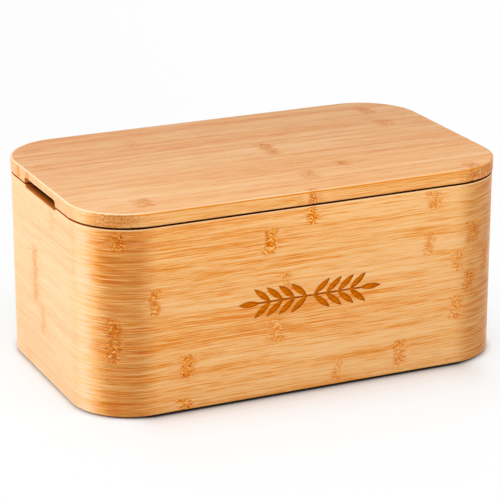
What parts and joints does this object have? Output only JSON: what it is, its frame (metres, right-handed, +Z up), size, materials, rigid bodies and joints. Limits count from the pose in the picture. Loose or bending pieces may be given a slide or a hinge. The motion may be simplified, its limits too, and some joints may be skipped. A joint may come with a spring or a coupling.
{
  "type": "bread box",
  "caption": "Long bread box with a bent bamboo wall, round corners and a flat lift-off lid with finger slots at both ends, carved with a pair of wheat ears on the front.",
  "frame": {"origin": "middle of the box in plan, on the surface that its feet stand on", "axes": "+X along the front towards its right-hand end, +Y from the front to the back, +Z up; the carved front faces -Y"},
  "size_m": [0.3308, 0.2008, 0.15],
  "materials": {
    "wall_bamboo": "satin clear lacquer over caramel-coloured bamboo",
    "lid_bamboo": "satin clear lacquer over pale caramel bamboo",
    "inner_bamboo": "plain sanded bamboo",
    "foot_rubber": "matt black rubber",
    "bumper_silicone": "dark translucent silicone",
    "screw_steel": "zinc-plated steel"
  },
  "bodies": {
    "box": {"wall_band": "wall_bamboo", "joint_batten": "inner_bamboo", "floor_panel": "inner_bamboo", "foot_front_left": "foot_rubber", "foot_front_right": "foot_rubber", "foot_rear_left": "foot_rubber", "foot_rear_right": "foot_rubber", "foot_screws": "screw_steel", "bumper_front_left": "bumper_silicone", "bumper_front_right": "bumper_silicone", "bumper_rear_left": "bumper_silicone", "bumper_rear_right": "bumper_silicone"},
    "lid": {"lid_board": "lid_bamboo", "lid_batten_left": "inner_bamboo", "lid_batten_right": "inner_bamboo", "batten_screws_left": "screw_steel", "batten_screws_right": "screw_steel"}
  },
  "joints": [
    {"name": "lid_lift", "type": "slide", "parent": "box", "child": "lid", "axis": [0, 0, 1], "range_m": [0, 0.15]}
  ]
}
